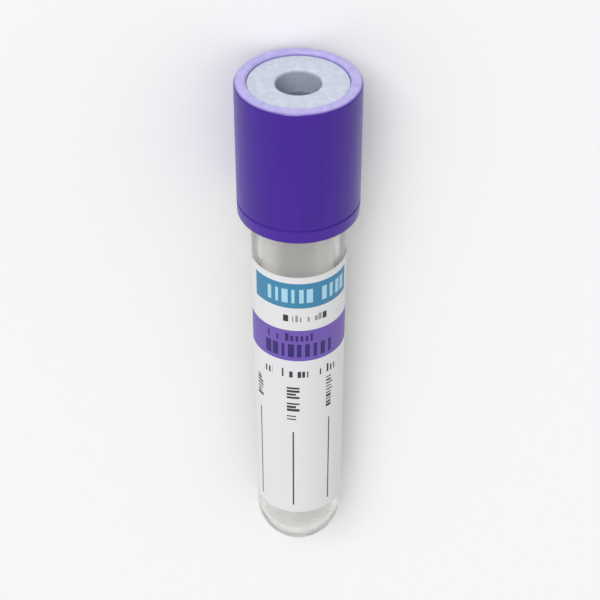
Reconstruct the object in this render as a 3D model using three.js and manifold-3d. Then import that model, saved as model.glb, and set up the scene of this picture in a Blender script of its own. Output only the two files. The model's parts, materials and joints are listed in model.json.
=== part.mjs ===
// Blood collection tube, 13 mm by 75 mm. A round-bottomed plastic tube carries a paper label,
// and its closure is a rubber stopper held in a coloured plastic shield.
//
// Millimetres, +Z up. Each piece is first turned about the tube's own axis, with the tube's foot
// at height 0 and the middle of the label facing -Y. The whole tube is then laid on its side, as
// it comes to rest: it touches the ground with the top of its round bottom and the lower band of
// the shield, its closure points to +Y and its label faces up.

import * as THREE from 'three';
import { mergeVertices } from 'three/addons/utils/BufferGeometryUtils.js';
import Module from 'manifold-3d';

// ---- Driving dimensions ----

// Tube, moulded in one piece
const TUBE_LENGTH = 75;
const MOUTH_DIAMETER = 13;            // outside, at the open end
const FOOT_DIAMETER = 12.6;           // outside, where the round bottom begins
const TUBE_WALL = 1.05;
const FLOOR_THICKNESS = 1.3;          // wall at the lowest point of the round bottom
const MOUTH_EDGE_RADIUS = 0.3;
const BORE_LEAD_IN = 0.5;             // chamfer that guides the plug into the bore

// Shield, the coloured outer cap
const SHIELD_HEIGHT = 20;
const SHIELD_WALL = 1.2;
const SHIELD_ABOVE_MOUTH = 6.5;       // from the tube's mouth to the shield's top rim
const SHIELD_RIM_RADIUS = 0.6;        // rounded outer edge of the top rim
const SHIELD_OPENING = 13.4;          // diameter of the hole that shows the stopper
const SHIELD_OPENING_CHAMFER = 0.25;
const SHIELD_LIP = 1.8;               // thickness of the lip round that hole
const SKIRT_EDGE_RADIUS = 0.25;
const SKIRT_LEAD_IN = 0.4;
const BAND_HEIGHT = 1.8;              // plain band below the groove line
const BAND_GROOVE_WIDTH = 0.4;
const BAND_GROOVE_DEPTH = 0.2;
const NOTCH_WIDTH = 0.7;              // small upright notch in that band
const NOTCH_DEPTH = 0.3;
const NOTCH_ANGLE = 120;              // degrees round from the middle of the label
const BEAD_HEIGHT = 0.8;              // snap bead under the stopper's head
const GUIDE_RIBS = 8;                 // upright ribs that centre the skirt on the tube
const GUIDE_RIB_WIDTH = 0.8;
const GUIDE_RIB_START = 1.2;          // from the skirt's edge to the ribs

// Stopper, one rubber moulding
const STOPPER_RECESS = 0.4;           // from the shield's rim down to the stopper's top
const STOPPER_EDGE_RADIUS = 0.3;
const WELL_DIAMETER = 5.9;            // target for the needle
const WELL_DEPTH = 3.1;
const WELL_DISH = 0.4;                // rounded floor of the well
const WELL_LIP_RADIUS = 0.45;
const PLUG_LENGTH = 8;                // from the tube's mouth to the end of the plug
const PLUG_CHAMFER = 0.8;
const SEAL_RIBS = 3;                  // rings that seal against the bore
const SEAL_GROOVE_DEPTH = 0.35;
const SEAL_RING_SHARE = 0.4;          // share of the rings' pitch that bears on the bore
const SEAL_SLOPE_SHARE = 0.15;        // share of it that each side of a groove takes
const POCKET_DIAMETER = 6.8;          // hollow under the septum
const SEPTUM_THICKNESS = 4;
const POCKET_DISH = 0.5;

// Label, one sheet of paper
const LABEL_WIDTH = 20.6;             // round the tube, half of its girth
const LABEL_LENGTH = 45;
const LABEL_BELOW_SHIELD = 6.9;
const LABEL_THICKNESS = 0.15;
const LABEL_CORNER_RADIUS = 1.2;

// Clearances between neighbours
const SKIRT_CLEARANCE = 0.6;          // shield's inner wall to tube
const PLUG_CLEARANCE = 0.08;          // sealing rings to bore
const SEAT_CLEARANCE = 0.1;           // stopper's head to the tube's mouth
const HEAD_CLEARANCE = 0.1;           // stopper's head to the shield's wall and lip
const OPENING_CLEARANCE = 0.1;        // stopper's button to the shield's opening
const BEAD_CLEARANCE = 0.15;          // snap bead to tube, and to the head above it
const GUIDE_CLEARANCE = 0.25;         // guide ribs to tube
const LABEL_CLEARANCE = 0.1;          // label to tube, where the glue is

// Fineness of the faceted surfaces
const FACETS = 24;                    // flats round each turned piece, one of them facing down
const BOTTOM_STEPS = 8;               // rings of the round bottom
const EDGE_STEPS = 3;                 // steps of a rounded edge

// ---- Places worked out from them ----

const MOUTH_RADIUS = MOUTH_DIAMETER / 2;
const FOOT_RADIUS = FOOT_DIAMETER / 2;
const BORE_MOUTH_RADIUS = MOUTH_RADIUS - TUBE_WALL;
const BORE_FOOT_RADIUS = FOOT_RADIUS - TUBE_WALL;
const BORE_FOOT_HEIGHT = FLOOR_THICKNESS + BORE_FOOT_RADIUS;

const SHIELD_BORE_RADIUS = MOUTH_RADIUS + SKIRT_CLEARANCE;
const SHIELD_DIAMETER = 2 * (SHIELD_BORE_RADIUS + SHIELD_WALL);
const SHIELD_RADIUS = SHIELD_DIAMETER / 2;
const SHIELD_TOP = TUBE_LENGTH + SHIELD_ABOVE_MOUTH;
const SKIRT_EDGE = SHIELD_TOP - SHIELD_HEIGHT;
const LIP_UNDERSIDE = SHIELD_TOP - SHIELD_LIP;

// Slope of the ground to the tube's axis, from the round bottom's top to the top of the shield's
// lower band. Both lie flat on it.
const GROOVE_BOTTOM = SKIRT_EDGE + BAND_HEIGHT;
const GROUND_SLOPE = Math.atan2(SHIELD_RADIUS - FOOT_RADIUS, GROOVE_BOTTOM - FOOT_RADIUS);

const HEAD_UNDERSIDE = TUBE_LENGTH + SEAT_CLEARANCE;
const BEAD_TOP = HEAD_UNDERSIDE - BEAD_CLEARANCE;
const BEAD_RADIUS = MOUTH_RADIUS + BEAD_CLEARANCE;

// ---- Shared helpers ----

const solids = await Module();
solids.setup();

// Points along an arc in a section, as [radius, height] pairs. Angles in degrees from outwards.
function arc(centreRadius, centreHeight, radius, from, to, steps) {
  return Array.from({ length: steps + 1 }, (_, step) => {
    const angle = THREE.MathUtils.degToRad(from + (to - from) * step / steps);
    return [centreRadius + radius * Math.cos(angle), centreHeight + radius * Math.sin(angle)];
  });
}

// Turns a section about the upright axis. The section runs anticlockwise and ends on the axis or
// where it began. Half a facet of turn puts one flat straight down once the tube lies on its side.
function turned(section) {
  const points = section.map(([radius, height]) => new THREE.Vector2(Math.max(radius, 0), height));
  return new THREE.LatheGeometry(points, FACETS, Math.PI / FACETS).rotateX(Math.PI / 2);
}

function toSolid(geometry) {
  const merged = geometry.clone();
  merged.deleteAttribute('normal');
  merged.deleteAttribute('uv');
  const closed = mergeVertices(merged);
  return new solids.Manifold(new solids.Mesh({
    numProp: 3,
    vertProperties: closed.attributes.position.array,
    triVerts: new Uint32Array(closed.index.array),
  }));
}

function fromSolid(solid) {
  const mesh = solid.getMesh();
  const geometry = new THREE.BufferGeometry();
  geometry.setAttribute('position', new THREE.BufferAttribute(mesh.vertProperties, 3));
  geometry.setIndex(new THREE.BufferAttribute(mesh.triVerts, 1));
  geometry.computeVertexNormals();
  return geometry;
}

// A block that stands on the wall of a round piece, between two radii and two heights.
function wallBlock(angle, width, innerRadius, outerRadius, bottom, top) {
  return new THREE.BoxGeometry(width, outerRadius - innerRadius, top - bottom)
    .translate(0, -(innerRadius + outerRadius) / 2, (bottom + top) / 2)
    .rotateZ(THREE.MathUtils.degToRad(angle));
}

function piece(name, geometry, color, roughness, extras = {}) {
  const material = new THREE.MeshStandardMaterial({ color, roughness, metalness: 0, ...extras });
  const mesh = new THREE.Mesh(geometry, material);
  mesh.name = name;
  return mesh;
}

// ---- Tube ----

// The outside and the bore both narrow towards the foot, so that the moulding leaves its core.
function tubeRadiusAt(height) {
  const along = (height - FOOT_RADIUS) / (TUBE_LENGTH - MOUTH_EDGE_RADIUS - FOOT_RADIUS);
  return THREE.MathUtils.lerp(FOOT_RADIUS, MOUTH_RADIUS, along);
}

function boreRadiusAt(height) {
  const along = (height - BORE_FOOT_HEIGHT) / (TUBE_LENGTH - BORE_LEAD_IN - BORE_FOOT_HEIGHT);
  return THREE.MathUtils.lerp(BORE_FOOT_RADIUS, BORE_MOUTH_RADIUS, along);
}

// The round bottom's last ring is a chord with the slope of the ground.
function tubeGeometry() {
  const edge = MOUTH_EDGE_RADIUS;
  const lastRing = -2 * THREE.MathUtils.radToDeg(GROUND_SLOPE);
  return turned([
    ...arc(0, FOOT_RADIUS, FOOT_RADIUS, -90, lastRing, BOTTOM_STEPS),
    [FOOT_RADIUS, FOOT_RADIUS],
    ...arc(MOUTH_RADIUS - edge, TUBE_LENGTH - edge, edge, 0, 90, EDGE_STEPS),
    [BORE_MOUTH_RADIUS + BORE_LEAD_IN, TUBE_LENGTH],
    [BORE_MOUTH_RADIUS, TUBE_LENGTH - BORE_LEAD_IN],
    ...arc(0, BORE_FOOT_HEIGHT, BORE_FOOT_RADIUS, 0, -90, BOTTOM_STEPS),
  ]);
}

// ---- Label ----

// The sheet follows the tube's slope. Its outline is taken column by column across its width:
// the corners' arcs first, then even columns about as wide as the tube's flats.
function labelColumns() {
  const radius = LABEL_CORNER_RADIUS;
  const bottom = SKIRT_EDGE - LABEL_BELOW_SHIELD - LABEL_LENGTH;
  const corner = arc(radius, radius, radius, 180, 90, EDGE_STEPS)
    .map(([across, rise]) => [across, 2 * radius - rise]);
  const straight = LABEL_WIDTH - 2 * radius;
  const count = Math.max(1, Math.round(straight / (Math.PI * MOUTH_DIAMETER / FACETS)));
  const inner = Array.from({ length: count - 1 }, (_, n) => [radius + straight * (n + 1) / count, 0]);
  const mirrored = corner.map(([across, inset]) => [LABEL_WIDTH - across, inset]).reverse();
  return [...corner, ...inner, ...mirrored].map(([across, inset]) => ({
    angle: (across - LABEL_WIDTH / 2) / MOUTH_RADIUS,
    bottom: bottom + inset,
    top: bottom + LABEL_LENGTH - inset,
  }));
}

// Each column has four points: inside bottom, outside bottom, outside top and inside top.
function labelGeometry() {
  const columns = labelColumns();
  const inside = LABEL_CLEARANCE;
  const outside = LABEL_CLEARANCE + LABEL_THICKNESS;
  const points = columns.flatMap(({ angle, bottom, top }) => (
    [[inside, bottom], [outside, bottom], [outside, top], [inside, top]].flatMap(([lift, height]) => {
      const radius = tubeRadiusAt(height) + lift;
      return [radius * Math.sin(angle), -radius * Math.cos(angle), height];
    })
  ));
  const faces = [];
  for (let column = 0; column < columns.length - 1; column += 1) {
    for (let side = 0; side < 4; side += 1) {
      const here = 4 * column + side;
      const next = 4 * column + (side + 1) % 4;
      faces.push(here, here + 4, next, next, here + 4, next + 4);
    }
  }
  const last = 4 * (columns.length - 1);
  faces.push(0, 1, 2, 0, 2, 3, last, last + 2, last + 1, last, last + 3, last + 2);
  const geometry = new THREE.BufferGeometry();
  geometry.setAttribute('position', new THREE.Float32BufferAttribute(points, 3));
  geometry.setIndex(faces);
  geometry.computeVertexNormals();
  return geometry;
}

// ---- Stopper ----

// The plug's outside, from its end up to the head: a lead-in, then sealing rings with a groove
// above each of them.
function plugSection() {
  const bottom = TUBE_LENGTH - PLUG_LENGTH;
  const ringsBottom = bottom + PLUG_CHAMFER;
  const pitch = (TUBE_LENGTH - BORE_LEAD_IN - ringsBottom) / SEAL_RIBS;
  const ringRadius = (height) => boreRadiusAt(height) - PLUG_CLEARANCE;
  const points = [[ringRadius(bottom) - PLUG_CHAMFER, bottom]];
  for (let ring = 0; ring < SEAL_RIBS; ring += 1) {
    const start = ringsBottom + ring * pitch;
    const ringTop = start + pitch * SEAL_RING_SHARE;
    const grooveBottom = ringTop + pitch * SEAL_SLOPE_SHARE;
    const grooveTop = start + pitch * (1 - SEAL_SLOPE_SHARE);
    points.push(
      [ringRadius(start), start],
      [ringRadius(ringTop), ringTop],
      [ringRadius(grooveBottom) - SEAL_GROOVE_DEPTH, grooveBottom],
      [ringRadius(grooveTop) - SEAL_GROOVE_DEPTH, grooveTop],
    );
  }
  points.push([ringRadius(TUBE_LENGTH - BORE_LEAD_IN) - SEAL_GROOVE_DEPTH, HEAD_UNDERSIDE]);
  return points;
}

function stopperGeometry() {
  const top = SHIELD_TOP - STOPPER_RECESS;
  const headRadius = SHIELD_BORE_RADIUS - HEAD_CLEARANCE;
  const headTop = LIP_UNDERSIDE - HEAD_CLEARANCE;
  const buttonRadius = SHIELD_OPENING / 2 - OPENING_CLEARANCE;
  const edge = STOPPER_EDGE_RADIUS;
  const wellRadius = WELL_DIAMETER / 2;
  const wellFloor = top - WELL_DEPTH - WELL_DISH;
  const pocketTop = wellFloor - SEPTUM_THICKNESS;
  const plugEnd = TUBE_LENGTH - PLUG_LENGTH;
  return turned([
    [0, pocketTop],
    [POCKET_DIAMETER / 4, pocketTop - POCKET_DISH / 4],
    [POCKET_DIAMETER / 2, pocketTop - POCKET_DISH],
    [POCKET_DIAMETER / 2, plugEnd],
    ...plugSection(),
    [headRadius, HEAD_UNDERSIDE],
    [headRadius, headTop],
    [buttonRadius, headTop],
    ...arc(buttonRadius - edge, top - edge, edge, 0, 90, EDGE_STEPS),
    ...arc(wellRadius + WELL_LIP_RADIUS, top - WELL_LIP_RADIUS, WELL_LIP_RADIUS, 90, 180, EDGE_STEPS),
    [wellRadius, wellFloor + WELL_DISH],
    [wellRadius / 2, wellFloor + WELL_DISH / 4],
    [0, wellFloor],
  ]);
}

// ---- Shield ----

// A cup open at both ends. Its lip holds the stopper down and its snap bead holds the head up.
// The band below the groove is drafted by the slope of the ground.
function shieldShell() {
  const grooveMiddle = GROOVE_BOTTOM + BAND_GROOVE_WIDTH / 2;
  const openingRadius = SHIELD_OPENING / 2;
  const edge = SKIRT_EDGE_RADIUS;
  const rim = SHIELD_RIM_RADIUS;
  const bandFootRadius = SHIELD_RADIUS - (BAND_HEIGHT - edge) * Math.tan(GROUND_SLOPE);
  const beadSlope = SHIELD_BORE_RADIUS - BEAD_RADIUS;
  const start = [SHIELD_BORE_RADIUS + SKIRT_LEAD_IN, SKIRT_EDGE];
  return turned([
    start,
    ...arc(bandFootRadius - edge, SKIRT_EDGE + edge, edge, -90, 0, EDGE_STEPS),
    [SHIELD_RADIUS, GROOVE_BOTTOM],
    [SHIELD_RADIUS - BAND_GROOVE_DEPTH, grooveMiddle],
    [SHIELD_RADIUS, GROOVE_BOTTOM + BAND_GROOVE_WIDTH],
    ...arc(SHIELD_RADIUS - rim, SHIELD_TOP - rim, rim, 0, 90, EDGE_STEPS),
    [openingRadius + SHIELD_OPENING_CHAMFER, SHIELD_TOP],
    [openingRadius, SHIELD_TOP - SHIELD_OPENING_CHAMFER],
    [openingRadius, LIP_UNDERSIDE],
    [SHIELD_BORE_RADIUS, LIP_UNDERSIDE],
    [SHIELD_BORE_RADIUS, BEAD_TOP],
    [BEAD_RADIUS, BEAD_TOP],
    [BEAD_RADIUS, BEAD_TOP - BEAD_HEIGHT],
    [SHIELD_BORE_RADIUS, BEAD_TOP - BEAD_HEIGHT - beadSlope],
    [SHIELD_BORE_RADIUS, SKIRT_EDGE + SKIRT_LEAD_IN],
    start,
  ]);
}

function shieldGeometry() {
  let shield = toSolid(shieldShell());
  const ribInner = MOUTH_RADIUS + GUIDE_CLEARANCE;
  const ribOuter = SHIELD_BORE_RADIUS + SHIELD_WALL / 3;
  const ribBottom = SKIRT_EDGE + GUIDE_RIB_START;
  const ribTop = BEAD_TOP - BEAD_HEIGHT / 2;
  for (let rib = 0; rib < GUIDE_RIBS; rib += 1) {
    const angle = (rib + 0.5) * 360 / GUIDE_RIBS;
    const block = wallBlock(angle, GUIDE_RIB_WIDTH, ribInner, ribOuter, ribBottom, ribTop);
    shield = shield.add(toSolid(block));
  }
  const notch = wallBlock(
    NOTCH_ANGLE, NOTCH_WIDTH,
    SHIELD_RADIUS - NOTCH_DEPTH, SHIELD_RADIUS + NOTCH_DEPTH,
    SKIRT_EDGE - NOTCH_DEPTH, GROOVE_BOTTOM,
  );
  return fromSolid(shield.subtract(toSolid(notch)));
}

// ---- The whole tube, laid on its side ----

const closure = new THREE.Group();
closure.add(
  piece('stopper', stopperGeometry(), 0x9aa0a6, 0.75),
  piece('shield', shieldGeometry(), 0x3f2584, 0.35),
);

const part = new THREE.Group();
part.add(
  piece('tube', tubeGeometry(), 0xc9c4ba, 0.2, { transparent: true, opacity: 0.45 }),
  piece('label', labelGeometry(), 0xf0f0f0, 0.7),
  closure,
);

// The flats that face down are nearer the axis than the edges between them.
part.rotation.x = Math.atan(Math.tan(GROUND_SLOPE) * Math.cos(Math.PI / FACETS)) - Math.PI / 2;

// The origin is on the ground, under the middle of the part.
const extent = new THREE.Box3().setFromObject(part, true);
const middle = extent.getCenter(new THREE.Vector3());
part.position.set(-middle.x, -middle.y, -extent.min.z);

export default part;
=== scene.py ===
# Blood collection tube, 13 mm by 75 mm. A round-bottomed plastic tube carries a paper label, and
# its closure is a grey rubber stopper held in a violet plastic shield. It lies on its side with
# the label up. Each piece is modelled upright, with the tube's foot at height 0 and the middle of
# the label facing -Y, and is then laid where the frame has it. Sizes are in millimetres.

import json
import math
import bpy
from mathutils import Matrix, Vector


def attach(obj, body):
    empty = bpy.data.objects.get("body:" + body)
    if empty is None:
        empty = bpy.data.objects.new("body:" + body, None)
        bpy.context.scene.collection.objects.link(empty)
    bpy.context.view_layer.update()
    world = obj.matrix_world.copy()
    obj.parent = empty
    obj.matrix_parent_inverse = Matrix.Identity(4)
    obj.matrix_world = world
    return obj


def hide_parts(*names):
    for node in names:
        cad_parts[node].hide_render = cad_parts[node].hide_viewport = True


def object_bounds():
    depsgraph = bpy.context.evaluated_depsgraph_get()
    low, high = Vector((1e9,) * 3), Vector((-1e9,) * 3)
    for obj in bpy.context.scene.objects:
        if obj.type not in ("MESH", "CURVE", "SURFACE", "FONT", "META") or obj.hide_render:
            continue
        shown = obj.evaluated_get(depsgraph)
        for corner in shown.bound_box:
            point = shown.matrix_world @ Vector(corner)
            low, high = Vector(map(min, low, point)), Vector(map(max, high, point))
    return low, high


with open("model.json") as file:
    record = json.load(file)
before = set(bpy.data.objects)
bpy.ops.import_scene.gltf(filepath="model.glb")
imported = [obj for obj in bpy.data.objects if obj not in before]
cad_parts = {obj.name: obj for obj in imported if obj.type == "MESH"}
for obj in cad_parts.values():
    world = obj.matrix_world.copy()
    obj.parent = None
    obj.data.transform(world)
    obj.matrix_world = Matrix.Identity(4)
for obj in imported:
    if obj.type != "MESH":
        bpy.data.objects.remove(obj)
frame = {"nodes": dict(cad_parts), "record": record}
cad_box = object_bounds()

# ---- Tube ----
# One injection moulding in clear PET, a little hazy, with a hemisphere for a bottom and a trace of
# the gate in the middle of it. It narrows towards the foot, inside and out, so that it leaves the
# mould, and a fine mist of additive is dried onto the wall inside.

MM = 0.001
SIDES = 144                    # round each turned piece
MERGE_DISTANCE = 0.001         # points nearer than this become one
SHARP_ANGLE = 30               # degrees, and edges that turn by less look smooth
NOISE_LOW = 0.3                # a noise mostly stays between these two
NOISE_HIGH = 0.7

TUBE_WALL = 1.05
FLOOR_THICKNESS = 1.3
FOOT_RADIUS = 6.3              # outside, where the round bottom begins
MOUTH_EDGE_RADIUS = 0.3
BORE_LEAD_IN = 0.5
BOTTOM_STEPS = 32
EDGE_STEPS = 6
GATE_RADIUS = 0.45             # stub left where the plastic came in
GATE_DISH_RADIUS = 1.1         # hollow round it
GATE_DISH_DEPTH = 0.16
GATE_STUB_DEPTH = 0.08         # from the foot to the end of the stub

PET_COLOUR = "#F6F5F2"
PET_STREAK_COLOUR = "#FDFCFA"
PET_CLEARNESS = 0.84           # the rest is haze
PET_IOR = 1.575
PET_ROUGHNESS = (0.05, 0.10)
FLOW_WIDTH = 0.9               # faint streaks along the moulding
FLOW_LENGTH = 14
FLOW_RELIEF = 0.003
HAZE_PATCH = 2.5
ADDITIVE_COLOUR = "#FFFFFF"
ADDITIVE_ROUGHNESS = (0.08, 0.5)   # of the bare wall and of a droplet
ADDITIVE_TOP = 58              # how high the spray reaches
ADDITIVE_DENSE_TOP = 23.2      # and how high it is at its densest
DROPLET_SPACING = 0.55
DROPLET_RADIUS = 0.13
DROPLET_EDGE = 0.1             # as a share of the spacing
DROPLET_RELIEF = 0.01

rim = frame["record"]["mounts"][0]
axis = Vector(rim["axis"])
rim_centre = Vector((0, rim["pos_m"][1], rim["pos_m"][2]))
below_rim = min((v.co - rim_centre).dot(axis) for v in frame["nodes"]["tube"].data.vertices)
foot = rim_centre + axis * below_rim
lying_turn = Matrix.Rotation(math.atan2(axis.z, axis.y) - math.pi / 2, 4, "X")


def reach(node):
    """Lowest and highest place of a CAD node up the tube's axis, and its largest radius, in mm."""
    places = [v.co - foot for v in frame["nodes"][node].data.vertices]
    heights = [place.dot(axis) for place in places]
    radii = [(place - axis * height).length for place, height in zip(places, heights)]
    return min(heights) / MM, max(heights) / MM, max(radii) / MM


def arc(centre_radius, centre_height, radius, start, end, steps):
    """Points of an arc in a section, as (radius, height). Angles in degrees, 0 outwards."""
    angles = [math.radians(start + (end - start) * step / steps) for step in range(steps + 1)]
    return [(centre_radius + radius * math.cos(a), centre_height + radius * math.sin(a)) for a in angles]


def turned(name, section):
    """Draws a section, in mm, as a line of points and spins it round the upright axis. The section
    ends on the axis at both ends, or where it began."""
    bpy.ops.object.select_all(action="DESELECT")
    radius, height = section[0]
    bpy.ops.mesh.primitive_plane_add(size=MM, location=(radius * MM, 0, height * MM))
    piece = bpy.context.object
    piece.name = name
    bpy.ops.object.transform_apply(location=True)
    bpy.ops.object.mode_set(mode="EDIT")
    bpy.ops.mesh.select_all(action="SELECT")
    bpy.ops.mesh.merge(type="CENTER")
    for next_radius, next_height in section[1:]:
        step = ((next_radius - radius) * MM, 0, (next_height - height) * MM)
        bpy.ops.mesh.extrude_region_move(TRANSFORM_OT_translate={"value": step})
        radius, height = next_radius, next_height
    bpy.ops.mesh.select_all(action="SELECT")
    bpy.ops.mesh.spin(steps=SIDES, angle=math.tau, center=(0, 0, 0), axis=(0, 0, 1))
    bpy.ops.mesh.select_all(action="SELECT")
    bpy.ops.mesh.remove_doubles(threshold=MERGE_DISTANCE * MM)
    bpy.ops.mesh.normals_make_consistent(inside=False)
    bpy.ops.object.mode_set(mode="OBJECT")
    return piece


def lay_down(piece):
    """Smooths a finished piece and lays it where the frame has it, with its place in its mesh."""
    bpy.ops.object.select_all(action="DESELECT")
    piece.select_set(True)
    bpy.context.view_layer.objects.active = piece
    bpy.ops.object.shade_smooth_by_angle(angle=math.radians(SHARP_ANGLE))
    piece.matrix_world = Matrix.Translation(foot) @ lying_turn
    bpy.ops.object.transform_apply(location=True, rotation=True, scale=True)


def linear(code):
    """An sRGB hex colour as linear RGBA."""
    values = [int(code[n:n + 2], 16) / 255 for n in (1, 3, 5)]
    return tuple(v / 12.92 if v <= 0.04045 else ((v + 0.055) / 1.055) ** 2.4 for v in values) + (1,)


def add_node(tree, kind, inputs, output=0, **settings):
    """Adds a node with its settings. Each input is a value or another node's output. Returns the
    output that is asked for."""
    made = tree.nodes.new("ShaderNode" + kind)
    for name, value in settings.items():
        setattr(made, name, value)
    for socket, value in inputs.items():
        if isinstance(value, bpy.types.NodeSocket):
            tree.links.new(value, made.inputs[socket])
        else:
            made.inputs[socket].default_value = value
    return made.outputs[output]


def new_finish(name, **constants):
    """A material with a Principled shader, whose constant values are set on its own sockets.
    Returns the material, its tree, the shader, and the place on the upright tube in mm."""
    material = bpy.data.materials.new(name)
    material.use_nodes = True
    tree = material.node_tree
    shader = tree.nodes["Principled BSDF"]
    for socket, value in constants.items():
        shader.inputs[socket.replace("_", " ")].default_value = value
    upright = lying_turn.inverted()
    place = add_node(tree, "Mapping", {
        "Vector": add_node(tree, "TexCoord", {}, output="Object"),
        "Location": -(upright @ foot) / MM,
        "Rotation": upright.to_euler(),
        "Scale": (1 / MM, 1 / MM, 1 / MM),
    })
    return material, tree, shader, place


def link_finish(tree, shader, colour, roughness, height, depth):
    """Links a colour, a roughness and a relief, whose full height is depth mm, to the shader."""
    relief = add_node(tree, "Bump", {"Height": height, "Distance": depth * MM, "Strength": 1.0})
    tree.links.new(colour, shader.inputs["Base Color"])
    tree.links.new(roughness, shader.inputs["Roughness"])
    tree.links.new(relief, shader.inputs["Normal"])


_, tube_top, mouth_radius = reach("tube")
bore_mouth_radius = mouth_radius - TUBE_WALL
bore_foot_radius = FOOT_RADIUS - TUBE_WALL
bore_foot = FLOOR_THICKNESS + bore_foot_radius


def tube_radius_at(height):
    along = (height - FOOT_RADIUS) / (tube_top - MOUTH_EDGE_RADIUS - FOOT_RADIUS)
    return FOOT_RADIUS + (mouth_radius - FOOT_RADIUS) * along


def bore_radius_at(height):
    along = (height - bore_foot) / (tube_top - BORE_LEAD_IN - bore_foot)
    return bore_foot_radius + (bore_mouth_radius - bore_foot_radius) * along


# The round bottom's arc starts at the edge of the hollow round the gate.
dish_edge = -math.degrees(math.acos(GATE_DISH_RADIUS / FOOT_RADIUS))
mouth_edge = mouth_radius - MOUTH_EDGE_RADIUS
clear_tube = turned("clear_tube", [
    (0, GATE_STUB_DEPTH),
    (GATE_RADIUS, GATE_STUB_DEPTH),
    (GATE_RADIUS, GATE_DISH_DEPTH),
    ((GATE_RADIUS + GATE_DISH_RADIUS) / 2, GATE_DISH_DEPTH),
    *arc(0, FOOT_RADIUS, FOOT_RADIUS, dish_edge, 0, BOTTOM_STEPS),
    *arc(mouth_edge, tube_top - MOUTH_EDGE_RADIUS, MOUTH_EDGE_RADIUS, 0, 90, EDGE_STEPS),
    (bore_mouth_radius + BORE_LEAD_IN, tube_top),
    (bore_mouth_radius, tube_top - BORE_LEAD_IN),
    *arc(0, bore_foot, bore_foot_radius, 0, -90, BOTTOM_STEPS),
])

# Clear PET, injection moulded: transparent, with soft streaks where it flowed and a pale haze that
# takes the sparkle off it.
pet, tree, shader, place = new_finish(
    "moulded_clear_pet", Transmission_Weight=PET_CLEARNESS, IOR=PET_IOR)
flow_place = add_node(tree, "VectorMath", {
    0: place, 1: (1 / FLOW_WIDTH, 1 / FLOW_WIDTH, 1 / FLOW_LENGTH)}, operation="MULTIPLY")
flow = add_node(tree, "TexNoise", {"Vector": flow_place, "Scale": 1, "Detail": 3}, output="Fac")
haze = add_node(tree, "TexNoise", {"Vector": place, "Scale": 1 / HAZE_PATCH, "Detail": 4}, output="Fac")
roughness = add_node(tree, "MapRange", {
    "Value": haze, "From Min": NOISE_LOW, "From Max": NOISE_HIGH,
    "To Min": PET_ROUGHNESS[0], "To Max": PET_ROUGHNESS[1]})
tint = add_node(tree, "Mix", {
    0: flow, 6: linear(PET_COLOUR), 7: linear(PET_STREAK_COLOUR)}, output=2, data_type="RGBA")
link_finish(tree, shader, tint, roughness, flow, depth=FLOW_RELIEF)

# The bore carries the dried additive: pale specks, each a dried droplet, thinning out upwards.
misted, tree, shader, place = new_finish(
    "pet_with_dried_additive", Transmission_Weight=PET_CLEARNESS, IOR=PET_IOR)
nearest = add_node(tree, "TexVoronoi", {
    "Vector": place, "Scale": 1 / DROPLET_SPACING, "Randomness": 1.0}, output="Distance")
height_up = add_node(tree, "SeparateXYZ", {0: place}, output="Z")
share = add_node(tree, "MapRange", {
    "Value": height_up, "From Min": ADDITIVE_DENSE_TOP, "From Max": ADDITIVE_TOP,
    "To Min": DROPLET_RADIUS / DROPLET_SPACING, "To Max": 0.0})
droplet = add_node(tree, "Math", {0: share, 1: nearest}, operation="SUBTRACT")
droplet = add_node(tree, "MapRange", {
    "Value": droplet, "From Min": 0.0, "From Max": DROPLET_EDGE, "To Min": 0.0, "To Max": 1.0})
tint = add_node(tree, "Mix", {
    0: droplet, 6: linear(PET_COLOUR), 7: linear(ADDITIVE_COLOUR)}, output=2, data_type="RGBA")
roughness = add_node(tree, "MapRange", {
    "Value": droplet, "From Min": 0.0, "From Max": 1.0,
    "To Min": ADDITIVE_ROUGHNESS[0], "To Max": ADDITIVE_ROUGHNESS[1]})
link_finish(tree, shader, tint, roughness, droplet, depth=DROPLET_RELIEF)

# The bore is all that faces inwards: to the middle of the round bottom, or higher up to the axis.
clear_tube.data.materials.append(pet)
clear_tube.data.materials.append(misted)
for face in clear_tube.data.polygons:
    outwards = Vector((face.center.x, face.center.y, face.center.z - FOOT_RADIUS * MM))
    if face.center.z > tube_top * MM / 2:
        outwards.z = 0
    face.material_index = int(face.normal.dot(outwards) < 0)

lay_down(clear_tube)
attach(clear_tube, "tube_body")
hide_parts("tube")

# ---- Label ----
# One die-cut sheet of coated white paper, printed in blue, violet and black, and stuck round half
# of the tube. It has a coloured block and band at its head, and below them columns to write in
# along the tube.

LABEL_WIDTH = 20.6
LABEL_CORNER_RADIUS = 1.2
LABEL_THICKNESS = 0.12
LABEL_CLEARANCE = 0.03         # glue between the label and the tube
LABEL_COLUMNS = 60             # strips that bend round the tube
CORNER_STEPS = 8

PAPER_IOR = 1.5
PAPER_COLOUR = "#DCDDDF"
PAPER_FIBRE_COLOUR = "#E3E3E5"
PAPER_ROUGHNESS = (0.42, 0.56)
PAPER_RELIEF = 0.004
BARE_PAPER_COLOUR = "#D8D6D0"
GLUE_COLOUR = "#E3E1DB"
BARE_PAPER_ROUGHNESS = (0.75, 0.9)
BARE_PAPER_RELIEF = 0.01
FIBRE = 0.25                   # size of the paper's fibres
BLUE_INK = "#3A82A8"
PALE_INK = "#A9D3E4"
VIOLET_INK = "#6D53AD"
DARK_VIOLET_INK = "#2A1A66"
BLACK_INK = "#2B2B30"
GREY_INK = "#8F948F"
INK_EDGE = 0.06                # how far ink creeps into the paper's fibres

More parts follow.
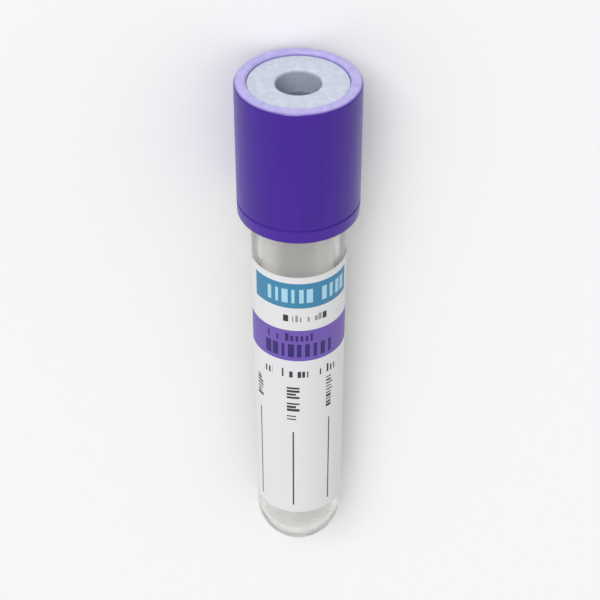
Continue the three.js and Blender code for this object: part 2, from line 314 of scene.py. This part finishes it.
HEAD_MARGIN = 1.0              # white above the block
BLOCK_LEFT, BLOCK_WIDTH, BLOCK_HEIGHT = 2.1, 15.3, 4.3
BLOCK_ROW_MARGIN = 0.9         # from the block's lower edge to its row of bars
BLOCK_ROW_HEIGHT = 2.4
STRIP_HEIGHT = 3.9             # white between the block and the band
STRIP_ROW_MARGIN = 1.2         # from the block down to the row in that strip
STRIP_ROW_HEIGHT = 1.2
BAND_HEIGHT = 5.6
WORDS_MARGIN = 1.5             # from the band down to the words
WORD_HEIGHT = 1.6
COLUMNS_MARGIN = 0.4           # from the words down to the columns
COLUMN_LEFT, COLUMN_PITCH = 2.7, 5.6
COLUMN_HEADINGS = (            # start below the columns' top, length and height of each
    (1.2, 3.9, 1.3), (1.4, 6.5, 1.9), (0.0, 6.3, 1.3), (1.3, 4.3, 1.3))
RULE_WIDTH = 0.28
RULE_START = 2.2               # below the heading
RULE_END = 1.5                 # above the label's lower edge

LARGE_PITCH = 1.15             # from bar to bar
MIDDLE_PITCH = 0.7
WORD_PITCH = 0.6
SMALL_PITCH = 0.55
EVEN_PITCH = 0.9               # above this the bars of a row are all of one height
SHORT_BAR = 0.72               # share of the height of the others
SHORT_CHANCE = 0.5
CHANCE_EDGE = 0.05             # a few bars are in between
GAP_CHANCE = 0.13              # that a bar is left out, which parts two groups
BAR_HALF_WIDTHS = (0.16, 0.44)   # as shares of the pitch
ROWS_APART = 100               # more than the bars in a row, so that no two rows are alike

label_foot, label_head, _ = reach("label")
label_length = label_head - label_foot
label_middle = (label_foot + label_head) / 2
face_radius = tube_radius_at(label_middle) + LABEL_CLEARANCE + LABEL_THICKNESS

# The flat sheet: a plane with its corners rounded, cut into strips.
bpy.ops.object.select_all(action="DESELECT")
bpy.ops.mesh.primitive_plane_add(size=MM, rotation=(math.pi / 2, 0, 0))
paper_label = bpy.context.object
paper_label.name = "paper_label"
bpy.ops.object.transform_apply(rotation=True)
bpy.ops.object.mode_set(mode="EDIT")
bpy.ops.mesh.select_all(action="SELECT")
bpy.ops.transform.resize(value=(LABEL_WIDTH, 1, label_length), center_override=(0, 0, 0))
bpy.ops.mesh.bevel(affect="VERTICES", offset=LABEL_CORNER_RADIUS * MM, segments=CORNER_STEPS)
for column in range(1, LABEL_COLUMNS):
    across = (column / LABEL_COLUMNS - 0.5) * LABEL_WIDTH
    bpy.ops.mesh.select_all(action="SELECT")
    bpy.ops.mesh.bisect(plane_co=(across * MM, 0, 0), plane_no=(1, 0, 0))
bpy.ops.object.mode_set(mode="OBJECT")

# Its own map gives the place on the sheet in mm, from the lower left corner.
for layer in list(paper_label.data.uv_layers):
    paper_label.data.uv_layers.remove(layer)
sheet_map = paper_label.data.uv_layers.new(name="sheet_mm")
for loop in paper_label.data.loops:
    spot = paper_label.data.vertices[loop.vertex_index].co / MM
    sheet_map.data[loop.index].uv = (spot.x + LABEL_WIDTH / 2, spot.z + label_length / 2)

# Bent round the tube, widened upwards with it, and given the paper's thickness.
bend = paper_label.modifiers.new("bend", "SIMPLE_DEFORM")
bend.deform_method = "BEND"
bend.deform_axis = "Z"
bend.angle = LABEL_WIDTH / face_radius
bpy.ops.object.modifier_apply(modifier="bend")
bpy.ops.object.mode_set(mode="EDIT")
bpy.ops.mesh.select_all(action="SELECT")
bpy.ops.transform.translate(value=(0, -face_radius * MM, 0))
bpy.ops.object.mode_set(mode="OBJECT")
taper = paper_label.modifiers.new("taper", "SIMPLE_DEFORM")
taper.deform_method = "TAPER"
taper.deform_axis = "Z"
taper.factor = (tube_radius_at(label_head) - tube_radius_at(label_foot)) / face_radius
bpy.ops.object.modifier_apply(modifier="taper")
thicken = paper_label.modifiers.new("thicken", "SOLIDIFY")
thicken.thickness = LABEL_THICKNESS * MM
thicken.offset = -1
thicken.material_offset = 1
thicken.material_offset_rim = 1
bpy.ops.object.mode_set(mode="EDIT")
bpy.ops.mesh.select_all(action="SELECT")
bpy.ops.transform.translate(value=(0, 0, label_middle * MM))
bpy.ops.object.mode_set(mode="OBJECT")

# Coated paper: white, faintly fibrous and satin. The print is flat fields of ink.
printed, tree, shader, place = new_finish(
    "printed_label_paper", IOR=PAPER_IOR, Specular_IOR_Level=0.4)
sheet_place = add_node(tree, "UVMap", {}, uv_map="sheet_mm")


def ink_field(left, bottom, width, height):
    """1 inside a rectangle of the sheet and 0 outside, with an edge as soft as ink in paper."""
    middle = (left + width / 2, bottom + height / 2, 0)
    off_middle = add_node(tree, "VectorMath", {0: sheet_place, 1: middle}, operation="SUBTRACT")
    off_middle = add_node(tree, "VectorMath", {0: off_middle}, operation="ABSOLUTE")
    past_edge = add_node(tree, "VectorMath", {
        0: off_middle, 1: (width / 2, height / 2, 0)}, operation="SUBTRACT")
    sides = add_node(tree, "SeparateXYZ", {0: past_edge}).node.outputs
    furthest = add_node(tree, "Math", {0: sides["X"], 1: sides["Y"]}, operation="MAXIMUM")
    return add_node(tree, "MapRange", {
        "Value": furthest, "From Min": -INK_EDGE, "From Max": 0.0, "To Min": 1.0, "To Max": 0.0})


def row_of_bars(number, start, line, pitch, height, lengthwise):
    """Upright bars of uneven width on a line, with gaps between groups of them. They stand for
    print and spell nothing. The number of the row makes it unlike the others."""
    sides = add_node(tree, "SeparateXYZ", {0: sheet_place}).node.outputs
    along, across = (sides["Y"], sides["X"]) if lengthwise else (sides["X"], sides["Y"])
    spot = add_node(tree, "MapRange", {
        "Value": along, "From Min": start, "From Max": start + pitch,
        "To Min": ROWS_APART * number, "To Max": ROWS_APART * number + 1}, clamp=False)
    bar = add_node(tree, "Math", {0: spot}, operation="FLOOR")
    chance = add_node(tree, "TexWhiteNoise", {"W": bar}, output="Color", noise_dimensions="1D")
    chances = add_node(tree, "SeparateColor", {0: chance}).node.outputs
    half_width = add_node(tree, "MapRange", {
        "Value": chances["Red"], "From Min": 0.0, "From Max": 1.0,
        "To Min": BAR_HALF_WIDTHS[0], "To Max": BAR_HALF_WIDTHS[1]})
    from_middle = add_node(tree, "Math", {0: spot}, operation="FRACT")
    from_middle = add_node(tree, "Math", {0: from_middle, 1: 0.5, 2: half_width}, operation="COMPARE")
    short_height = height * (SHORT_BAR if pitch < EVEN_PITCH else 1)
    bar_top = add_node(tree, "MapRange", {
        "Value": chances["Green"], "From Min": SHORT_CHANCE, "From Max": SHORT_CHANCE + CHANCE_EDGE,
        "To Min": line + short_height, "To Max": line + height})
    below_top = add_node(tree, "Math", {0: across, 1: bar_top}, operation="LESS_THAN")
    in_group = add_node(tree, "Math", {0: chances["Blue"], 1: GAP_CHANCE}, operation="GREATER_THAN")
    mask = add_node(tree, "Math", {0: from_middle, 1: below_top}, operation="MULTIPLY")
    return add_node(tree, "Math", {0: mask, 1: in_group}, operation="MULTIPLY")


# Each field of print: left, bottom, width, height and its ink, then the pitch of the bars that
# fill it, or none where it is solid, and whether they run along the tube.
block_bottom = label_length - HEAD_MARGIN - BLOCK_HEIGHT
band_bottom = block_bottom - STRIP_HEIGHT - BAND_HEIGHT
block_row = block_bottom + BLOCK_ROW_MARGIN
strip_row = block_bottom - STRIP_ROW_MARGIN - STRIP_ROW_HEIGHT
words_bottom = band_bottom - WORDS_MARGIN - WORD_HEIGHT
columns_top = words_bottom - COLUMNS_MARGIN
fields = [
    (BLOCK_LEFT, block_bottom, BLOCK_WIDTH, BLOCK_HEIGHT, BLUE_INK, None, False),
    (4.3, block_row, 6.9, BLOCK_ROW_HEIGHT, PALE_INK, LARGE_PITCH, False),
    (12.2, block_row, 4.4, BLOCK_ROW_HEIGHT, PALE_INK, LARGE_PITCH, False),
    (6.9, strip_row, 0.8, STRIP_ROW_HEIGHT, BLACK_INK, None, False),
    (8.0, strip_row, 4.4, STRIP_ROW_HEIGHT, GREY_INK, SMALL_PITCH, False),
    (12.5, strip_row, 0.7, STRIP_ROW_HEIGHT, BLACK_INK, None, False),
    (0, band_bottom, LABEL_WIDTH, BAND_HEIGHT, VIOLET_INK, None, False),
    (4.3, band_bottom + 3.6, 6.8, 1.4, DARK_VIOLET_INK, MIDDLE_PITCH, False),
    (4.0, band_bottom + 0.7, 10.3, 2.4, DARK_VIOLET_INK, LARGE_PITCH, False),
    (3.8, words_bottom, 1.4, WORD_HEIGHT, BLACK_INK, WORD_PITCH, False),
    (6.5, words_bottom, 4.0, WORD_HEIGHT, BLACK_INK, WORD_PITCH, False),
    (12.0, words_bottom, 3.2, WORD_HEIGHT, BLACK_INK, WORD_PITCH, False),
]
for column, (start_below, length, height) in enumerate(COLUMN_HEADINGS):
    column_middle = COLUMN_LEFT + column * COLUMN_PITCH
    heading_end = columns_top - start_below - length
    fields.append((
        column_middle - height / 2, heading_end, height, length, BLACK_INK, WORD_PITCH, True))
    fields.append((
        column_middle - RULE_WIDTH / 2, RULE_END, RULE_WIDTH, heading_end - RULE_START - RULE_END,
        BLACK_INK, None, True))

fibres = add_node(tree, "TexNoise", {"Vector": place, "Scale": 1 / FIBRE, "Detail": 4}, output="Fac")
colour = add_node(tree, "Mix", {
    0: fibres, 6: linear(PAPER_COLOUR), 7: linear(PAPER_FIBRE_COLOUR)}, output=2, data_type="RGBA")
for number, (left, bottom, width, height, ink, pitch, lengthwise) in enumerate(fields):
    mask = ink_field(left, bottom, width, height)
    if pitch:
        start, line, rise = (bottom, left, width) if lengthwise else (left, bottom, height)
        bars = row_of_bars(number, start, line, pitch, rise, lengthwise)
        mask = add_node(tree, "Math", {0: mask, 1: bars}, operation="MULTIPLY")
    colour = add_node(tree, "Mix", {0: mask, 6: colour, 7: linear(ink)}, output=2, data_type="RGBA")
roughness = add_node(tree, "MapRange", {
    "Value": fibres, "From Min": NOISE_LOW, "From Max": NOISE_HIGH,
    "To Min": PAPER_ROUGHNESS[0], "To Max": PAPER_ROUGHNESS[1]})
link_finish(tree, shader, colour, roughness, fibres, depth=PAPER_RELIEF)

# The back of the sheet and its cut edges are bare paper, a little yellowed by the glue.
bare, tree, shader, place = new_finish("bare_label_paper", IOR=PAPER_IOR, Specular_IOR_Level=0.2)
fibres = add_node(tree, "TexNoise", {"Vector": place, "Scale": 1 / FIBRE, "Detail": 4}, output="Fac")
colour = add_node(tree, "Mix", {
    0: fibres, 6: linear(BARE_PAPER_COLOUR), 7: linear(GLUE_COLOUR)}, output=2, data_type="RGBA")
roughness = add_node(tree, "MapRange", {
    "Value": fibres, "From Min": NOISE_LOW, "From Max": NOISE_HIGH,
    "To Min": BARE_PAPER_ROUGHNESS[0], "To Max": BARE_PAPER_ROUGHNESS[1]})
link_finish(tree, shader, colour, roughness, fibres, depth=BARE_PAPER_RELIEF)

paper_label.data.materials.append(printed)
paper_label.data.materials.append(bare)
bpy.ops.object.modifier_apply(modifier="thicken")

lay_down(paper_label)
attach(paper_label, "tube_body")
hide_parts("label")

# ---- Stopper ----
# One compression moulding in grey butyl rubber. Its plug seals the bore with three rings, its
# head bears on the tube's mouth, and a well in its top guides the needle to the thin septum. It
# is pushed up into the shield from below.

STOPPER_EDGE_RADIUS = 0.2
WELL_RADIUS = 2.95
WELL_DEPTH = 3.1
WELL_DISH = 0.4
WELL_LIP_RADIUS = 0.45
PLUG_CHAMFER = 0.8
SEAL_RINGS = 3
SEAL_GROOVE_DEPTH = 0.35
RING_SHARE = 0.4               # of the rings' pitch, which bears on the bore
GROOVE_SHARES = (0.55, 0.85)   # of it, where the floor of a groove starts and ends
RING_EDGE_RADIUS = 0.2
RING_EDGE_TURN = 60            # degrees that a ring's edge turns towards the groove
RING_EDGE_STEPS = 3
PLUG_CLEARANCE = 0.08
SEAT_CLEARANCE = 0.1           # from the head to the tube's mouth, and to the shield
OPENING_CLEARANCE = 0.02       # the rubber fills the opening
POCKET_RADIUS = 3.4
SEPTUM_THICKNESS = 4
POCKET_DISH = 0.5
DISH_STEPS = 6
SHIELD_OPENING_RADIUS = 6.7
SHIELD_LIP = 1.8

RUBBER_COLOUR = "#BFC6D4"
RUBBER_BLOOM_COLOUR = "#D0D4E1"
BLOOM_START = 0.42             # of the mottle, where bloom begins and is full
BLOOM_FULL = 0.72
PAINTED_WELL_SHADE_COLOUR = "#6D7786"        # painted shade of the well, and of all the rubber within its radius
WELL_BLEND = 0.2               # half as wide as the edge of that colour
RUBBER_IOR = 1.5
RUBBER_ROUGHNESS = (0.62, 0.8)
RUBBER_RELIEF = 0.012
RUBBER_MOTTLE = 0.9
RUBBER_GRAIN = 0.12

plug_end, stopper_top, head_radius = reach("stopper")
shield_edge, shield_top, shield_radius = reach("shield")
head_underside = tube_top + SEAT_CLEARANCE
head_top = shield_top - SHIELD_LIP - SEAT_CLEARANCE
button_radius = SHIELD_OPENING_RADIUS - OPENING_CLEARANCE
well_floor = stopper_top - WELL_DEPTH - WELL_DISH
pocket_top = well_floor - SEPTUM_THICKNESS


def ring_radius(height):
    return bore_radius_at(height) - PLUG_CLEARANCE


def dish(radius, edge_height, depth):
    """A shallow bowl in a section, from the axis out to its edge. A negative depth is a dome."""
    shares = [step / DISH_STEPS for step in range(DISH_STEPS + 1)]
    return [(radius * share, edge_height - depth * (1 - share ** 2)) for share in shares]


rings_bottom = plug_end + PLUG_CHAMFER
ring_pitch = (tube_top - BORE_LEAD_IN - rings_bottom) / SEAL_RINGS
plug = [(ring_radius(plug_end) - PLUG_CHAMFER, plug_end)]
for ring in range(SEAL_RINGS):
    ring_foot = rings_bottom + ring * ring_pitch
    ring_top = ring_foot + ring_pitch * RING_SHARE
    edge_centre = ring_radius(ring_foot) - RING_EDGE_RADIUS
    plug += arc(
        edge_centre, ring_foot + RING_EDGE_RADIUS, RING_EDGE_RADIUS,
        -RING_EDGE_TURN, 0, RING_EDGE_STEPS)
    plug += arc(
        edge_centre, ring_top - RING_EDGE_RADIUS, RING_EDGE_RADIUS,
        0, RING_EDGE_TURN, RING_EDGE_STEPS)
    groove = ring_radius(ring_foot) - SEAL_GROOVE_DEPTH
    plug += [(groove, ring_foot + ring_pitch * share) for share in GROOVE_SHARES]
plug.append((ring_radius(tube_top - BORE_LEAD_IN) - SEAL_GROOVE_DEPTH, head_underside))

edge, lip = STOPPER_EDGE_RADIUS, WELL_LIP_RADIUS
rubber_stopper = turned("rubber_stopper", [
    *dish(POCKET_RADIUS, pocket_top - POCKET_DISH, -POCKET_DISH),
    (POCKET_RADIUS, plug_end),
    *plug,
    (head_radius, head_underside),
    (head_radius, head_top),
    (button_radius, head_top),
    *arc(button_radius - edge, stopper_top - edge, edge, 0, 90, EDGE_STEPS),
    *arc(WELL_RADIUS + lip, stopper_top - lip, lip, 90, 180, EDGE_STEPS),
    *reversed(dish(WELL_RADIUS, well_floor + WELL_DISH, WELL_DISH)),
])

# Grey butyl rubber, moulded: dead matt, with a fine grain and a pale bloom in patches. Within the
# well's radius it carries a darker painted shade.
rubber, tree, shader, place = new_finish(
    "moulded_grey_butyl_rubber", IOR=RUBBER_IOR, Specular_IOR_Level=0.3)
mottle = add_node(tree, "TexNoise", {
    "Vector": place, "Scale": 1 / RUBBER_MOTTLE, "Detail": 5}, output="Fac")
grain = add_node(tree, "TexNoise", {
    "Vector": place, "Scale": 1 / RUBBER_GRAIN, "Detail": 2}, output="Fac")
bloom = add_node(tree, "MapRange", {
    "Value": mottle, "From Min": BLOOM_START, "From Max": BLOOM_FULL, "To Min": 0.0, "To Max": 1.0})
colour = add_node(tree, "Mix", {
    0: bloom, 6: linear(RUBBER_COLOUR), 7: linear(RUBBER_BLOOM_COLOUR)}, output=2, data_type="RGBA")
off_axis = add_node(tree, "VectorMath", {0: place, 1: (1, 1, 0)}, operation="MULTIPLY")
off_axis = add_node(tree, "VectorMath", {0: off_axis}, output="Value", operation="LENGTH")
# Painted shade: within the well's radius the rubber is coloured darker.
painted_well_shade = add_node(tree, "MapRange", {
    "Value": off_axis, "From Min": WELL_RADIUS - WELL_BLEND, "From Max": WELL_RADIUS + WELL_BLEND,
    "To Min": 1.0, "To Max": 0.0})
colour = add_node(tree, "Mix", {
    0: painted_well_shade, 6: colour, 7: linear(PAINTED_WELL_SHADE_COLOUR)}, output=2, data_type="RGBA")
roughness = add_node(tree, "MapRange", {
    "Value": grain, "From Min": NOISE_LOW, "From Max": NOISE_HIGH,
    "To Min": RUBBER_ROUGHNESS[0], "To Max": RUBBER_ROUGHNESS[1]})
link_finish(tree, shader, colour, roughness, grain, depth=RUBBER_RELIEF)
rubber_stopper.data.materials.append(rubber)

lay_down(rubber_stopper)
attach(rubber_stopper, "closure")
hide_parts("stopper")

# ---- Shield ----
# One injection moulding in violet polypropylene, open at both ends. Its lip holds the stopper's
# head down and a snap bead under the head holds it up. Ribs inside the skirt centre it on the
# tube, and a fine groove and a small notch mark the band at its lower edge.

SHIELD_RIM_RADIUS = 0.6
SHIELD_OPENING_CHAMFER = 0.25
SKIRT_CLEARANCE = 0.6
SKIRT_EDGE_RADIUS = 0.25
SKIRT_LEAD_IN = 0.4
BAND_ABOVE_EDGE = 1.8
BAND_GROOVE_WIDTH = 0.4
BAND_GROOVE_DEPTH = 0.2
BAND_GROOVE_SLOPE = 0.35       # share of its width that each of its sides takes
NOTCH_WIDTH = 0.7
NOTCH_DEPTH = 0.3
NOTCH_ANGLE = 120              # degrees round from the middle of the label
BEAD_HEIGHT = 0.8
BEAD_CLEARANCE = 0.15
GUIDE_RIBS = 8
GUIDE_RIB_WIDTH = 0.8
GUIDE_RIB_START = 1.2          # from the skirt's edge to the ribs
GUIDE_CLEARANCE = 0.25
RIB_ROOT = 0.4                 # how far a rib runs into the wall that carries it
BLOCK_EDGE_RADIUS = 0.1        # of the block that makes a rib or the notch
BLOCK_EDGE_STEPS = 2

VIOLET_COLOUR = "#3D178C"
VIOLET_STREAK_COLOUR = "#421A93"
PAINTED_BAND_GLOW_COLOUR = "#451C96"   # painted glow: brighter, standing in for more light coming through the thinner wall
VIOLET_IOR = 1.49
VIOLET_ROUGHNESS = (0.28, 0.38)
PAINTED_RIM_REFLECTION_COLOUR = "#BAB3E6"         # painted reflection: pale lavender on the flat end of the lip, which is glossy
RIM_ROUGHNESS = 0.12
PAINTED_REFLECTION_LEAST = 0.8             # least share of the painted reflection's colour, as it varies over the end
RIM_FULL = 0.05                # below the end, and from there up the painted reflection is at its palest
RIM_FADE = 0.3                 # how far down the outer rounding the painted reflection reaches, and where the gloss is full
OPENING_FADE = 1.0             # and how far down inside the opening the painted reflection reaches
ORANGE_PEEL = 1.1
PEEL_RELIEF = 0.006
STREAK_WIDTH = 0.8             # where the plastic flowed up the wall
STREAK_LENGTH = 25
STREAK_START = 0.35            # of the noise, where a streak begins and is full
STREAK_FULL = 0.65

skirt_bore = mouth_radius + SKIRT_CLEARANCE
bead_top = head_underside - BEAD_CLEARANCE
bead_radius = mouth_radius + BEAD_CLEARANCE
lip_underside = shield_top - SHIELD_LIP
groove_foot = shield_edge + BAND_ABOVE_EDGE
round_edge, rim_radius = SKIRT_EDGE_RADIUS, SHIELD_RIM_RADIUS
ground_slope = (shield_radius - FOOT_RADIUS) / (groove_foot - FOOT_RADIUS)
edge_radius = shield_radius - (BAND_ABOVE_EDGE - round_edge) * ground_slope
groove_bottom = shield_radius - BAND_GROOVE_DEPTH
skirt_mouth = (skirt_bore + SKIRT_LEAD_IN, shield_edge)
violet_shield = turned("violet_shield", [
    skirt_mouth,
    *arc(edge_radius - round_edge, shield_edge + round_edge, round_edge, -90, 0, EDGE_STEPS),
    (shield_radius, groove_foot),
    (groove_bottom, groove_foot + BAND_GROOVE_WIDTH * BAND_GROOVE_SLOPE),
    (groove_bottom, groove_foot + BAND_GROOVE_WIDTH * (1 - BAND_GROOVE_SLOPE)),
    (shield_radius, groove_foot + BAND_GROOVE_WIDTH),
    *arc(shield_radius - rim_radius, shield_top - rim_radius, rim_radius, 0, 90, 2 * EDGE_STEPS),
    (SHIELD_OPENING_RADIUS + SHIELD_OPENING_CHAMFER, shield_top),
    (SHIELD_OPENING_RADIUS, shield_top - SHIELD_OPENING_CHAMFER),
    (SHIELD_OPENING_RADIUS, lip_underside),
    (skirt_bore, lip_underside),
    (skirt_bore, bead_top),
    (bead_radius, bead_top),
    (bead_radius, bead_top - BEAD_HEIGHT),
    (skirt_bore, bead_top - BEAD_HEIGHT - (skirt_bore - bead_radius)),
    (skirt_bore, shield_edge + SKIRT_LEAD_IN),
    skirt_mouth,
])


def wall_block(angle, width, inner, outer, bottom, top):
    """A block that stands on the shield's wall, at an angle round from the middle of the label."""
    turn, middle = math.radians(angle), (inner + outer) / 2
    bpy.ops.object.select_all(action="DESELECT")
    bpy.ops.mesh.primitive_cube_add(size=MM, rotation=(0, 0, turn), location=(
        middle * math.sin(turn) * MM, -middle * math.cos(turn) * MM, (bottom + top) / 2 * MM))
    block = bpy.context.object
    block.scale = (width, outer - inner, top - bottom)
    bpy.ops.object.transform_apply(location=True, rotation=True, scale=True)
    bpy.ops.object.mode_set(mode="EDIT")
    bpy.ops.mesh.bevel(offset=BLOCK_EDGE_RADIUS * MM, segments=BLOCK_EDGE_STEPS)
    bpy.ops.object.mode_set(mode="OBJECT")
    return block


def join_to_shield(block, operation):
    """Adds a block to the shield or cuts it out."""
    bpy.context.view_layer.objects.active = violet_shield
    cut = violet_shield.modifiers.new("block", "BOOLEAN")
    cut.object, cut.operation = block, operation
    bpy.ops.object.modifier_apply(modifier="block")
    bpy.data.objects.remove(block)


for rib in range(GUIDE_RIBS):
    join_to_shield(wall_block(
        (rib + 0.5) * 360 / GUIDE_RIBS, GUIDE_RIB_WIDTH, mouth_radius + GUIDE_CLEARANCE,
        skirt_bore + RIB_ROOT, shield_edge + GUIDE_RIB_START, bead_top - BEAD_HEIGHT / 2), "UNION")
join_to_shield(wall_block(
    NOTCH_ANGLE, NOTCH_WIDTH, shield_radius - NOTCH_DEPTH, shield_radius + NOTCH_DEPTH,
    shield_edge - NOTCH_DEPTH, groove_foot), "DIFFERENCE")
lay_down(violet_shield)

# Violet polypropylene, injection moulded: satin, deep in colour, with a faint orange peel and
# upright streaks of flow. Below the groove a painted glow makes it a little brighter, and the end of
# the lip is glossy, with a painted pale reflection round its edge and down into the opening.
violet, tree, shader, place = new_finish(
    "moulded_violet_polypropylene", IOR=VIOLET_IOR, Specular_IOR_Level=0.3)
peel = add_node(tree, "TexNoise", {"Vector": place, "Scale": 1 / ORANGE_PEEL, "Detail": 2}, output="Fac")
flow_place = add_node(tree, "VectorMath", {
    0: place, 1: (1 / STREAK_WIDTH, 1 / STREAK_WIDTH, 1 / STREAK_LENGTH)}, operation="MULTIPLY")
flow = add_node(tree, "TexNoise", {"Vector": flow_place, "Scale": 1, "Detail": 3}, output="Fac")
streak = add_node(tree, "MapRange", {
    "Value": flow, "From Min": STREAK_START, "From Max": STREAK_FULL, "To Min": 0.0, "To Max": 1.0})
colour = add_node(tree, "Mix", {
    0: streak, 6: linear(VIOLET_COLOUR), 7: linear(VIOLET_STREAK_COLOUR)}, output=2, data_type="RGBA")
height_up = add_node(tree, "SeparateXYZ", {0: place}, output="Z")
# Painted glow: below the groove the violet is brighter, standing in for light coming through.
painted_band_glow = add_node(tree, "MapRange", {
    "Value": height_up, "From Min": groove_foot, "From Max": groove_foot + BAND_GROOVE_WIDTH,
    "To Min": 1.0, "To Max": 0.0})
colour = add_node(tree, "Mix", {
    0: painted_band_glow, 6: colour, 7: linear(PAINTED_BAND_GLOW_COLOUR)}, output=2, data_type="RGBA")
# Painted reflection: the end of the lip, its outer rounding and the top of the opening turn pale
# lavender.
painted_reflection_share = add_node(tree, "MapRange", {
    "Value": peel, "From Min": NOISE_LOW, "From Max": NOISE_HIGH,
    "To Min": PAINTED_REFLECTION_LEAST, "To Max": 1.0})
off_axis = add_node(tree, "VectorMath", {0: place, 1: (1, 1, 0)}, operation="MULTIPLY")
off_axis = add_node(tree, "VectorMath", {0: off_axis}, output="Value", operation="LENGTH")
fade_foot = add_node(tree, "MapRange", {
    "Value": off_axis, "From Min": SHIELD_OPENING_RADIUS + SHIELD_OPENING_CHAMFER,
    "From Max": shield_radius - rim_radius,
    "To Min": shield_top - OPENING_FADE, "To Max": shield_top - RIM_FADE})
painted_rim_reflection = add_node(tree, "MapRange", {
    "Value": height_up, "From Min": fade_foot, "From Max": shield_top - RIM_FULL,
    "To Min": 0.0, "To Max": painted_reflection_share})
colour = add_node(tree, "Mix", {
    0: painted_rim_reflection, 6: colour, 7: linear(PAINTED_RIM_REFLECTION_COLOUR)}, output=2, data_type="RGBA")
roughness = add_node(tree, "MapRange", {
    "Value": flow, "From Min": NOISE_LOW, "From Max": NOISE_HIGH,
    "To Min": VIOLET_ROUGHNESS[0], "To Max": VIOLET_ROUGHNESS[1]})
roughness = add_node(tree, "MapRange", {
    "Value": height_up, "From Min": shield_top - rim_radius, "From Max": shield_top - RIM_FADE,
    "To Min": roughness, "To Max": RIM_ROUGHNESS})
link_finish(tree, shader, colour, roughness, peel, depth=PEEL_RELIEF)
violet_shield.data.materials.append(violet)

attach(violet_shield, "closure")
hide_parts("shield")

# ---- Table top, light and camera ----
# A sheet of matt white card, wide enough to fill every view, under an even white surround and a
# large softbox, which stands far off so that its light is even too. The camera looks down on the
# label from beyond the closure.

CARD_SIZE = 2.0                # metres, as all lengths below
CARD_COLOUR = "#F8F8F8"
CARD_FIBRE_COLOUR = "#FAFAFA"
CARD_ROUGHNESS = (0.85, 0.95)
CARD_GRAIN = 0.6               # in mm, and so is its relief
CARD_RELIEF = 0.01
SURROUND_COLOUR = "#FFFFFF"
SURROUND_LIGHT = 0.62
SURROUND_SEEN = 0.93           # how bright it looks, straight or in gloss and clear plastic
SOFTBOX_SIZE = 6.3
SOFTBOX_POWER = 815            # watts
SOFTBOX_WAY = Vector((-0.35, 0.62, 0.70))
SOFTBOX_DISTANCE = 12.0
CAMERA_ALONG = 0.108           # from the middle of the rim, along the tube's axis
CAMERA_OVER = 0.176            # out over the label
CAMERA_ASIDE = -0.033          # and to the left of the label
CAMERA_AIM = 0.0055            # from the middle of the whole tube, towards the closure
CAMERA_LENS = 98               # focal length in mm

bpy.ops.object.select_all(action="DESELECT")
bpy.ops.mesh.primitive_plane_add(size=CARD_SIZE, location=(0, 0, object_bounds()[0].z))
table_top = bpy.context.object
table_top.name = "table_top"
bpy.ops.object.transform_apply(location=True)
card, tree, shader, place = new_finish("matt_white_card", IOR=1.45, Specular_IOR_Level=0.0)
grain = add_node(tree, "TexNoise", {"Vector": place, "Scale": 1 / CARD_GRAIN, "Detail": 3}, output="Fac")
colour = add_node(tree, "Mix", {
    0: grain, 6: linear(CARD_COLOUR), 7: linear(CARD_FIBRE_COLOUR)}, output=2, data_type="RGBA")
roughness = add_node(tree, "MapRange", {
    "Value": grain, "From Min": NOISE_LOW, "From Max": NOISE_HIGH,
    "To Min": CARD_ROUGHNESS[0], "To Max": CARD_ROUGHNESS[1]})
link_finish(tree, shader, colour, roughness, grain, depth=CARD_RELIEF)
table_top.data.materials.append(card)

studio = bpy.data.worlds.new("white_surround")
studio.use_nodes = True
bpy.context.scene.world = studio
tree = studio.node_tree
ray = add_node(tree, "LightPath", {}).node.outputs
seen = add_node(tree, "Math", {
    0: ray["Is Camera Ray"], 1: ray["Is Glossy Ray"]}, operation="MAXIMUM")
seen = add_node(tree, "Math", {0: seen, 1: ray["Is Transmission Ray"]}, operation="MAXIMUM")
strength = add_node(tree, "MapRange", {
    "Value": seen, "From Min": 0.0, "From Max": 1.0,
    "To Min": SURROUND_LIGHT, "To Max": SURROUND_SEEN})
tree.nodes["Background"].inputs["Color"].default_value = linear(SURROUND_COLOUR)
tree.links.new(strength, tree.nodes["Background"].inputs["Strength"])

whole_middle = (cad_box[0] + cad_box[1]) / 2
softbox_lamp = bpy.data.lights.new("softbox", "AREA")
softbox_lamp.size = SOFTBOX_SIZE
softbox_lamp.energy = SOFTBOX_POWER
softbox = bpy.data.objects.new("softbox", softbox_lamp)
bpy.context.scene.collection.objects.link(softbox)
softbox.location = whole_middle + SOFTBOX_WAY.normalized() * SOFTBOX_DISTANCE
softbox.rotation_euler = (whole_middle - softbox.location).to_track_quat("-Z", "Y").to_euler()

camera_lens = bpy.data.cameras.new("camera")
camera_lens.lens = CAMERA_LENS
camera = bpy.data.objects.new("camera", camera_lens)
bpy.context.scene.collection.objects.link(camera)
bpy.context.scene.camera = camera
out_of_label = lying_turn.to_3x3() @ Vector((0, -1, 0))
camera.location = (
    rim_centre + axis * CAMERA_ALONG + out_of_label * CAMERA_OVER + Vector((CAMERA_ASIDE, 0, 0)))
back = (camera.location - whole_middle - axis * CAMERA_AIM).normalized()
right = axis.cross(back).normalized()
camera.rotation_euler = Matrix((right, back.cross(right), back)).transposed().to_euler()
bpy.context.scene.view_settings.view_transform = "Standard"
